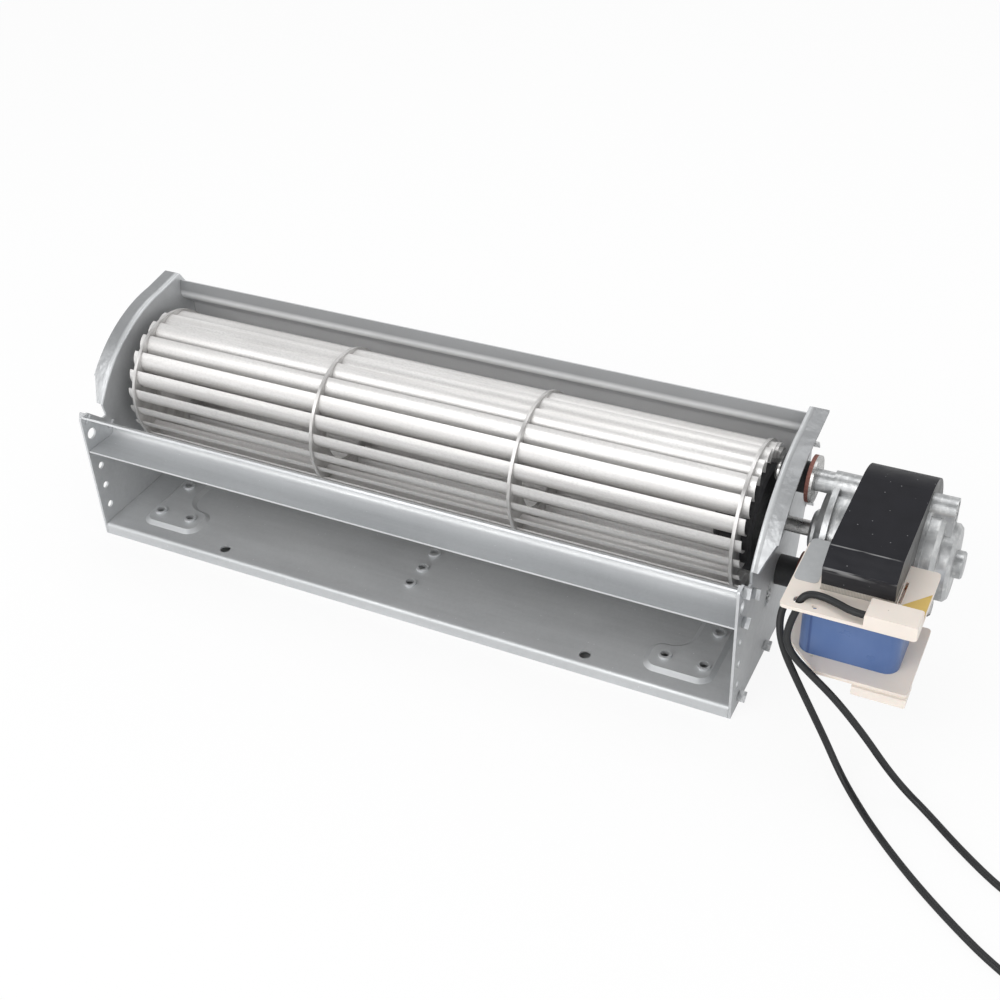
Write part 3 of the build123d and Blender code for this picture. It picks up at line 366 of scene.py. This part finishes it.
def bright_aluminium():
    """Thin rolled strip, with lengthwise streaks, a fine grain and a slight waviness."""
    paint = Paint("bright_aluminium", (0.78, 0.77, 0.76), 0.42, 0.38)
    streaks = paint.noise(520, 5, (0.03, 1, 1))
    clouds = paint.noise(46, 3, (0.35, 1, 1))
    tone = paint.shades(streaks, (0.7, 0.685, 0.672), (0.85, 0.84, 0.83))
    tone = paint.mixed(paint.rise(clouds, full=0.5), tone, (0.64, 0.625, 0.61))
    grain = paint.rise(paint.noise(1700, 2, (0.5, 1, 1)), (0.45, 0.7), 0.5)
    paint.color(paint.mixed(grain, tone, (0.61, 0.6, 0.59)))
    paint.rough(paint.noise(90, 4, (0.3, 1, 1)), 0.3, 0.44)
    paint.bump(paint.noise(52, 2, (0.4, 1, 1)), 0.3, 0.6 * MM)
    paint.bump(paint.noise(2400, 3, (0.03, 1, 1)), 0.2, 0.05 * MM)
    return paint.material


def bright_steel():
    paint = Paint("bright_steel", (0.62, 0.62, 0.61), 0.9, 0.28)
    grain = paint.noise(1500, 4)
    paint.color(paint.shades(grain, (0.4, 0.395, 0.385), (0.6, 0.595, 0.585)))
    paint.rough(paint.noise(500, 4), 0.2, 0.42)
    paint.bump(grain, 0.16, 0.06 * MM)
    return paint.material


def black_rubber():
    paint = Paint("black_rubber", (0.022, 0.022, 0.024), 0.0, 0.6)
    dust = paint.noise(700, 5)
    paint.color(paint.shades(dust, (0.016, 0.016, 0.018), (0.04, 0.04, 0.042)))
    paint.rough(dust, 0.45, 0.7)
    paint.bump(paint.noise(3200, 3), 0.2, 0.06 * MM)
    return paint.material


def sintered_bronze():
    paint = Paint("sintered_bronze", (0.42, 0.3, 0.18), 1.0, 0.5)
    pores = paint.noise(4200, 4)
    paint.color(paint.shades(pores, (0.28, 0.19, 0.11), (0.5, 0.37, 0.23)))
    paint.rough(pores, 0.4, 0.6)
    paint.bump(pores, 0.3, 0.06 * MM)
    return paint.material


def red_fibre():
    paint = Paint("red_fibre", (0.2, 0.075, 0.055), 0.0, 0.75)
    fibre = paint.noise(1800, 5, (1, 0.3, 1))
    paint.color(paint.shades(fibre, (0.13, 0.05, 0.04), (0.27, 0.11, 0.085)))
    paint.bump(fibre, 0.25, 0.06 * MM)
    return paint.material


def black_lamination():
    """Black lacquer round the stack, with dust, painted highlights along its bends and a painted sheen on
    its front faces, and bare sheet on its two ends.
    """
    paint = Paint("black_lamination", (0.01, 0.01, 0.012), 0.0, 0.42)
    front_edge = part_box("stator_stack")[0].y
    sheen = paint.noise(160, 4)
    lacquer = paint.shades(sheen, (0.006, 0.006, 0.009), (0.012, 0.012, 0.016))
    # painted sheen: the front-facing faces are drawn lighter
    front = paint.fade(paint.normal("Y"), CORE_FRONT)
    wear_and_sheen = paint.both(front, paint.between(paint.noise(300, 4, (0.2, 1, 1)), 0.4, 1))
    lacquer = paint.mixed(wear_and_sheen, lacquer, (0.034, 0.034, 0.037))
    lacquer = paint.mixed(paint.specks(470, 0.22, 0.12), lacquer, (0.2, 0.2, 0.21))
    patchy = paint.rise(paint.noise(650, 4, (0.15, 1, 1)), (0.42, 0.6), 0.5)
    # painted highlights: pale patchy lines along the core's two bends
    for bend in (front_edge, front_edge + STACK_CHAMFER):
        line = paint.fade(paint.apart("Y", bend), BEND_HIGHLIGHT_WIDTH)
        lacquer = paint.mixed(paint.both(line, patchy), lacquer, (0.4, 0.4, 0.4))
    bare = paint.shades(paint.noise(1300, 4), (0.12, 0.12, 0.12), (0.18, 0.18, 0.176))
    end_face = paint.rise(paint.math("ABSOLUTE", paint.normal("X")), CORE_END)
    paint.color(paint.mixed(end_face, lacquer, bare))
    paint.tree.links.new(end_face, paint.shader.inputs["Metallic"])
    paint.set("Specular IOR Level", 0.16)
    paint.rough(sheen, 0.4, 0.55)
    paint.bump(paint.bands(SHEETS_SCALE, "X", 0.4), 0.08, 0.05 * MM)
    paint.bump(paint.noise(900, 4), 0.12, 0.08 * MM)
    return paint.material


def lamination_edge():
    """The pale cut edges of the sheets in the bar through the coil."""
    paint = Paint("lamination_edge", (0.44, 0.43, 0.4), 0.7, 0.45)
    sheets = paint.bands(SHEETS_SCALE, "X", 1.2)
    wear_and_sheen = paint.shades(sheets, (0.46, 0.45, 0.42), (0.72, 0.7, 0.66))
    paint.color(paint.mixed(paint.rise(paint.noise(380, 4), full=0.8), wear_and_sheen, (0.52, 0.49, 0.45)))
    paint.rough(paint.noise(600, 3), 0.35, 0.55)
    paint.bump(sheets, 0.25, 0.1 * MM)
    return paint.material


def copper():
    paint = Paint("copper", (0.72, 0.38, 0.24), 1.0, 0.35)
    tarnish = paint.noise(900, 4)
    paint.color(paint.shades(tarnish, (0.5, 0.24, 0.15), (0.8, 0.46, 0.3)))
    paint.rough(tarnish, 0.25, 0.45)
    return paint.material


def die_cast_zinc():
    """Cast metal with flow marks: darker clouds, pale worn spots and an uneven skin."""
    paint = Paint("die_cast_zinc", (0.5, 0.51, 0.52), 0.74, 0.4)
    clouds = paint.rise(paint.noise(120, 5, roughness=0.6), (0.35, 0.65))
    tone = paint.mixed(clouds, (0.35, 0.358, 0.362), (0.56, 0.567, 0.57))
    marks = paint.rise(paint.noise(700, 4, (1, 0.5, 0.5)), (0.52, 0.68), 0.45)
    paint.color(paint.mixed(marks, tone, (0.76, 0.76, 0.75)))
    paint.rough(paint.noise(420, 5), 0.28, 0.46)
    paint.bump(paint.noise(230, 5), 0.28, 0.5 * MM)
    paint.bump(paint.noise(1500, 4), 0.3, 0.12 * MM)
    return paint.material


def cream_plastic():
    paint = Paint("cream_plastic", (0.64, 0.575, 0.515), 0.0, 0.45)
    tone = paint.shades(paint.noise(60, 4), (0.71, 0.64, 0.578), (0.76, 0.695, 0.63))
    paint.color(paint.mixed(paint.specks(420, 0.06, 0.1), tone, (0.4, 0.34, 0.28)))
    paint.rough(paint.noise(300, 3), 0.36, 0.5)
    paint.set("Subsurface Weight", 0.06).set("Subsurface Scale", 1.5 * MM)
    paint.bump(paint.noise(900, 3), 0.08, 0.1 * MM)
    paint.bump(paint.noise(120, 2), 0.1, 0.4 * MM)
    return paint.material


def blue_tape():
    """Film tape wound round the coil, with its loose end a vertical fold near the left corner."""
    paint = Paint("blue_tape", (0.08, 0.15, 0.36), 0.0, 0.34)
    tone = paint.shades(paint.noise(90, 3, (1, 1, 0.5)), (0.06, 0.114, 0.268), (0.082, 0.143, 0.312))
    fold_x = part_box("coil_tape")[0].x + TAPE_FOLD
    # painted shade in the fold: the tape is drawn darker along it
    fold = paint.fade(paint.apart("X", fold_x), TAPE_FOLD_WIDTH, 0.75)
    paint.color(paint.mixed(fold, tone, (0.028, 0.06, 0.19)))
    paint.rough(paint.noise(160, 3), 0.26, 0.44)
    paint.bump(fold, 0.5, 0.4 * MM)
    paint.bump(paint.noise(110, 2, (1, 1, 0.25)), 0.3, 0.8 * MM)
    paint.bump(paint.noise(620, 3, (1, 1, 0.5)), 0.12, 0.15 * MM)
    return paint.material


def grey_foil():
    paint = Paint("grey_foil", (0.33, 0.34, 0.345), 0.25, 0.4)
    paint.color(paint.mixed(paint.noise(500, 4), (0.38, 0.39, 0.4), (0.46, 0.47, 0.475)))
    paint.rough(paint.noise(200, 3), 0.32, 0.46)
    paint.bump(paint.noise(160, 3), 0.14, 0.3 * MM)
    return paint.material


def yellow_tape():
    paint = Paint("yellow_tape", (0.52, 0.34, 0.08), 0.0, 0.35)
    paint.color(paint.mixed(paint.noise(300, 4), (0.54, 0.36, 0.08), (0.68, 0.48, 0.14)))
    paint.rough(paint.noise(200, 3), 0.25, 0.45)
    paint.bump(paint.noise(240, 3), 0.25, 0.3 * MM)
    return paint.material


def lead_sheath():
    paint = Paint("lead_sheath", (0.012, 0.0125, 0.0135), 0.0, 0.42)
    paint.color(paint.mixed(paint.noise(400, 4), (0.009, 0.0095, 0.0105), (0.02, 0.021, 0.022)))
    paint.rough(paint.noise(250, 4), 0.36, 0.5)
    paint.set("Specular IOR Level", 0.35)
    paint.bump(paint.noise(1400, 3), 0.12, 0.06 * MM)
    return paint.material


def tinned_wire():
    paint = Paint("tinned_wire", (0.66, 0.64, 0.6), 1.0, 0.3)
    strands = paint.bands(2400, "DIAGONAL", 0.3)
    paint.color(paint.mixed(strands, (0.42, 0.4, 0.37), (0.74, 0.72, 0.68)))
    paint.bump(strands, 0.5, 0.1 * MM)
    return paint.material


MATERIALS = {
    maker.__name__: maker()
    for maker in (
        galvanised_steel,
        tongue_steel,
        folded_steel,
        bright_aluminium,
        disc_aluminium,
        bright_steel,
        black_rubber,
        sintered_bronze,
        red_fibre,
        black_lamination,
        lamination_edge,
        copper,
        die_cast_zinc,
        cream_plastic,
        blue_tape,
        grey_foil,
        yellow_tape,
        lead_sheath,
        tinned_wire,
    )
}


def dress_nodes():
    for row in frame["record"]["subparts"]:
        dress(nodes[row["node"]], MATERIALS[row["material_slot"]])
    for name in ("end_disc_left", "mid_disc_left", "mid_disc_right", "end_disc_right"):
        dress(nodes[name], MATERIALS["disc_aluminium"])
    dress(nodes["tongue_plate"], MATERIALS["tongue_steel"])


def left_of(heading):
    return Vector((-heading.y, heading.x))


def fold_stations():
    """Places and headings, in the YZ plane, along the inner face of the wall's folded top."""
    stations = []
    for a, b, c, radius in zip(FOLD_POINTS, FOLD_POINTS[1:], FOLD_POINTS[2:], FOLD_RADII):
        before, after = (b - a).normalized(), (c - b).normalized()
        turn = -before.angle_signed(after)
        side = 1 if turn > 0 else -1
        start = b - before * radius * tan(abs(turn) / 2)
        centre = start + left_of(before) * side * radius
        for i in range(FOLD_STEPS + 1):
            angle = turn * i / FOLD_STEPS
            heading = before * cos(angle) + left_of(before) * sin(angle)
            stations.append((centre - left_of(heading) * side * radius, heading))
    stations.append((FOLD_POINTS[-1], after))
    return stations


def wall_below_fold():
    """The scroll wall's own mesh, cut off where the fold starts, and its open rim."""
    shape = bmesh.new()
    shape.from_mesh(nodes["scroll_wall"].data)
    bmesh.ops.remove_doubles(shape, verts=shape.verts, dist=WELD)
    everything = shape.verts[:] + shape.edges[:] + shape.faces[:]
    bmesh.ops.bisect_plane(
        shape,
        geom=everything,
        plane_co=(0, 0, FOLD_POINTS[0].y),
        plane_no=(0, 0, 1),
        clear_outer=True,
        dist=CUT_TOLERANCE,
    )
    return shape, [edge for edge in shape.edges if edge.is_boundary]


def scroll_wall_sheet():
    """The wall's sheet with the top that the photograph shows: leaning in, then folded upright."""
    shape, rim = wall_below_fold()
    depth = {vert: (vert.co.y - FOLD_POINTS[0].x) / SHEET_T for edge in rim for vert in edge.verts}
    for place, heading in fold_stations():
        ends = {vert: (vert.co.x, depth[vert]) for edge in rim for vert in edge.verts}
        grown = bmesh.ops.extrude_edge_only(shape, edges=rim)["geom"]
        verts = [item for item in grown if isinstance(item, bmesh.types.BMVert)]
        rim = [item for item in grown if isinstance(item, bmesh.types.BMEdge) and item.is_boundary]
        for vert in verts:
            old = next(edge.other_vert(vert) for edge in vert.link_edges if edge.other_vert(vert) in ends)
            x, share = ends[old]
            across = left_of(heading) * -SHEET_T * share
            vert.co = (x, place.x + across.x, place.y + across.y)
            depth[vert] = share
    bmesh.ops.holes_fill(shape, edges=rim)
    bmesh.ops.recalc_face_normals(shape, faces=shape.faces)
    for face in shape.faces:
        face.smooth = True
    for edge in shape.edges:
        edge.smooth = len(edge.link_faces) == 2 and edge.calc_face_angle() < SHARP_ANGLE
    mesh = bpy.data.meshes.new("scroll_wall_sheet")
    shape.to_mesh(mesh)
    shape.free()
    piece = add_object("scroll_wall_sheet", mesh)
    dress(piece, MATERIALS["folded_steel"])
    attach(piece, "housing")
    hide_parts("scroll_wall")


def coil_middle():
    """Where the leads' routes are counted from: the shaft's line, the core's middle, the flange's top."""
    core_low, core_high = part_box("stator_stack")
    disc_low, disc_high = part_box("end_disc_left")
    flange_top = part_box("bobbin")[1].z
    return Vector(((core_low.x + core_high.x) / 2, (disc_low.y + disc_high.y) / 2, flange_top))


def lead_a_points():
    above = [
        (5.5, -60.9, 2.5),
        (1.0, -60.9, 2.5),
        (-4.6, -58.3, 2.2),
        (-10.6, -56.4, 2.0),
        (-15.0, -57.2, 2.1),
        (-17.2, -58.7, 0.0),
        (-17.7, -59.3, -4.0),
        (-19.2, -60.9, -9.4),
        (-19.6, -63.0, -15.0),
        (-16.2, -65.0, -19.6),
        (-9.4, -66.2, -24.4),
        (0.6, -66.4, -32.8),
        (11.2, -66.2, -45.0),
        (20.6, -66.2, -57.4),
        (28.4, -66.4, -65.6),
    ]
    on_table = [
        (36.6, -69.8),
        (50.4, -81.6),
        (65.4, -92.6),
        (78.6, -98.8),
        (88.8, -100.8),
    ]
    return above, on_table


def lead_b_points():
    above = [
        (-17.5, -50.0, -5.0),
        (-21.0, -50.5, -5.8),
        (-23.8, -52.2, -9.0),
        (-24.2, -55.0, -13.4),
        (-22.8, -58.4, -18.2),
        (-19.6, -60.8, -24.0),
        (-14.6, -61.8, -33.0),
        (-8.0, -62.0, -45.6),
        (-1.6, -62.4, -57.6),
        (4.2, -65.6, -65.4),
    ]
    on_table = [
        (10.6, -71.6),
        (22.0, -84.8),
        (38.6, -100.6),
        (56.0, -114.4),
        (70.4, -124.2),
        (81.4, -129.6),
    ]
    return above, on_table


def lead(name, points):
    """A lead's sheath as one smooth curve from the motor to its bare end on the table."""
    above, on_table = points
    start = coil_middle()
    route = [start + Vector(p) * MM for p in above]
    route += [Vector((start.x + x * MM, start.y + y * MM, LEAD_Z)) for x, y in on_table]
    curve = bpy.data.curves.new(name + "_sheath", "CURVE")
    curve.dimensions = "3D"
    curve.bevel_depth = LEAD_D / 2
    curve.bevel_resolution = 6
    curve.use_fill_caps = True
    curve.resolution_u = 10
    spline = curve.splines.new("NURBS")
    spline.points.add(len(route) - 1)
    for point, place in zip(spline.points, route):
        point.co = (*place, 1.0)
    spline.order_u = 3
    spline.use_endpoint_u = True
    piece = add_object(name + "_sheath", curve)
    dress(piece, MATERIALS["lead_sheath"])
    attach(piece, "housing")
    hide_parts(name)


def camera():
    data = bpy.data.cameras.new("camera")
    data.lens = CAMERA_LENS
    data.sensor_width = SENSOR
    data.clip_start = NEAREST
    data.clip_end = FARTHEST
    piece = add_object("camera", data)
    up = CAMERA_RIGHT.cross(CAMERA_LOOK)
    columns = Matrix((CAMERA_RIGHT, up, -CAMERA_LOOK)).transposed()
    piece.matrix_world = Matrix.Translation(CAMERA_PLACE) @ columns.to_4x4()
    bpy.context.scene.camera = piece


def lamp(name, place, target, size, power):
    data = bpy.data.lights.new(name, "AREA")
    data.shape = "RECTANGLE"
    data.size, data.size_y = size
    data.energy = power
    piece = add_object(name, data)
    aim = Vector(target) - Vector(place)
    piece.matrix_world = Matrix.Translation(place) @ aim.to_track_quat("-Z", "Y").to_matrix().to_4x4()


def lamps():
    lamp("key_lamp", place=(-0.28, -0.8, 0.8), target=(0.0, 0.03, 0.03), size=(0.8, 0.6), power=4.9)
    lamp("fill_lamp", place=(0.95, -0.6, 0.42), target=(0.1, 0.0, 0.03), size=(0.6, 0.5), power=1.3)
    lamp("front_lamp", place=(0.0, -1.1, 0.2), target=(0.0, 0.03, 0.02), size=(1.2, 0.3), power=1.4)
    lamp("top_lamp", place=(0.05, 0.35, 1.0), target=(0.05, 0.04, 0.03), size=(0.9, 0.5), power=3.0)


def world():
    """White at the horizon, a grey ceiling, full strength to the camera and in reflections."""
    place = bpy.data.worlds.new("world")
    bpy.context.scene.world = place
    place.use_nodes = True
    tree = place.node_tree
    background = tree.nodes["Background"]
    spot = tree.nodes.new("ShaderNodeTexCoord")
    ramp = tree.nodes.new("ShaderNodeValToRGB")
    stops = ((HORIZON_END, WHITE), (CEILING_START, CEILING))
    for element, (position, color) in zip(ramp.color_ramp.elements, stops):
        element.position = position
        element.color = (*color, 1.0)
    tree.links.new(split_axes(tree, spot.outputs["Generated"])["Z"], ramp.inputs["Fac"])
    tree.links.new(ramp.outputs["Color"], background.inputs["Color"])
    path = tree.nodes.new("ShaderNodeLightPath")
    seen = path.outputs["Is Camera Ray"]
    for name in ("Is Glossy Ray", "Is Transmission Ray"):
        seen = math_node(tree, "MAXIMUM", seen, path.outputs[name])
    strength = tree.nodes.new("ShaderNodeMapRange")
    strength.inputs["To Min"].default_value = WORLD_LIGHT
    strength.inputs["To Max"].default_value = 1.0
    tree.links.new(seen, strength.inputs["Value"])
    tree.links.new(strength.outputs["Result"], background.inputs["Strength"])


def table_share(tree):
    """How much of the table is plain white to the camera: nothing of it under the floor's holes."""
    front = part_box("scroll_wall")[0].y
    half_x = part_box("tongue_plate")[1].x - OUTLET_MARGIN
    spot = tree.nodes.new("ShaderNodeNewGeometry")
    axes = split_axes(tree, spot.outputs["Position"])
    path = tree.nodes.new("ShaderNodeLightPath")
    from_middle = math_node(tree, "SUBTRACT", axes["Y"], front + OUTLET_DEPTH / 2)
    beside = math_node(tree, "GREATER_THAN", math_node(tree, "ABSOLUTE", axes["X"]), half_x)
    beyond = math_node(tree, "GREATER_THAN", math_node(tree, "ABSOLUTE", from_middle), OUTLET_DEPTH / 2)
    open_table = math_node(tree, "MAXIMUM", beside, beyond)
    seen = math_node(tree, "MULTIPLY", path.outputs["Is Camera Ray"], open_table)
    return math_node(tree, "MULTIPLY", seen, TABLE_GLOW)


def table():
    mesh = bpy.data.meshes.new("table")
    shape = bmesh.new()
    bmesh.ops.create_grid(shape, x_segments=1, y_segments=1, size=TABLE_SIZE / 2)
    shape.to_mesh(mesh)
    shape.free()
    piece = add_object("table", mesh)
    piece.location = (0.0, 0.0, TABLE_Z)
    material = bpy.data.materials.new("table")
    material.use_nodes = True
    tree = material.node_tree
    shader = tree.nodes["Principled BSDF"]
    shader.inputs["Base Color"].default_value = (*TABLE_TONE, 1.0)
    shader.inputs["Roughness"].default_value = TABLE_ROUGH
    glow = tree.nodes.new("ShaderNodeEmission")
    mix = tree.nodes.new("ShaderNodeMixShader")
    tree.links.new(table_share(tree), mix.inputs["Fac"])
    tree.links.new(shader.outputs["BSDF"], mix.inputs[1])
    tree.links.new(glow.outputs["Emission"], mix.inputs[2])
    tree.links.new(mix.outputs["Shader"], tree.nodes["Material Output"].inputs["Surface"])
    piece.data.materials.append(material)


camera()
dress_nodes()
scroll_wall_sheet()
lead("lead_a", lead_a_points())
lead("lead_b", lead_b_points())
lamps()
world()
table()

bpy.context.scene.view_settings.view_transform = "Standard"
